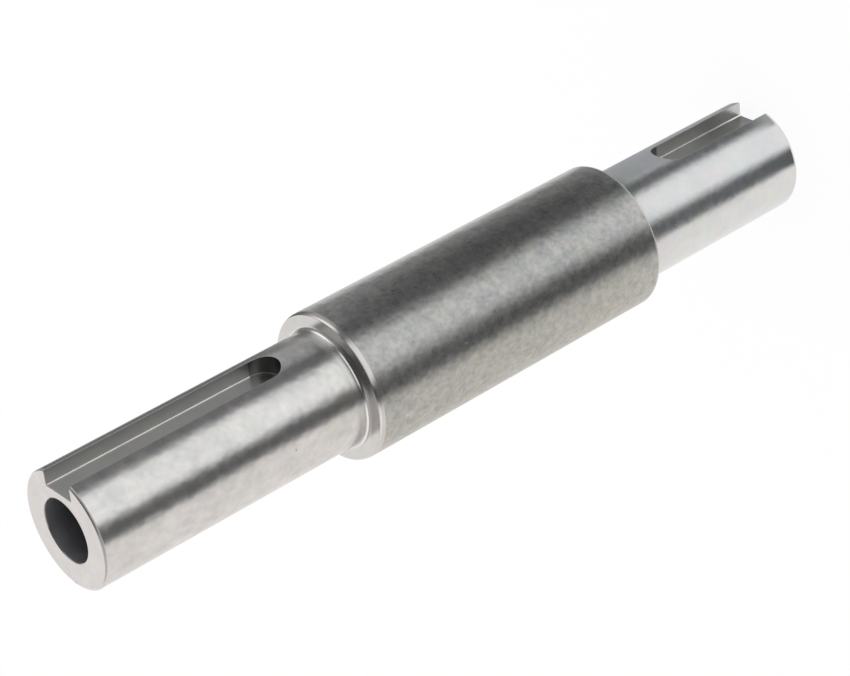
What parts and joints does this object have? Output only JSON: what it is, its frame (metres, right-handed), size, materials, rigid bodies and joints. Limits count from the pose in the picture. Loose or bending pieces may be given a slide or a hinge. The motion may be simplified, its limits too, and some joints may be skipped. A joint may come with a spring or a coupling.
{
  "type": "adapter shaft",
  "caption": "Stepped steel adapter shaft, bored through, with a thicker middle between two equal stubs and a parallel keyway open at each end.",
  "frame": {"origin": "centre of the far end face, which is the bottom of the part as it stands", "axes": "+Z along the shaft's axis towards the bored end that faces the viewer in the picture; both keyways face +X"},
  "size_m": [0.032, 0.032, 0.186],
  "materials": {
    "ground_steel": "satin ground steel on the stubs and ends, duller turned steel on the middle"
  },
  "bodies": {
    "root": {"adapter_shaft": "ground_steel"}
  },
  "joints": []
}
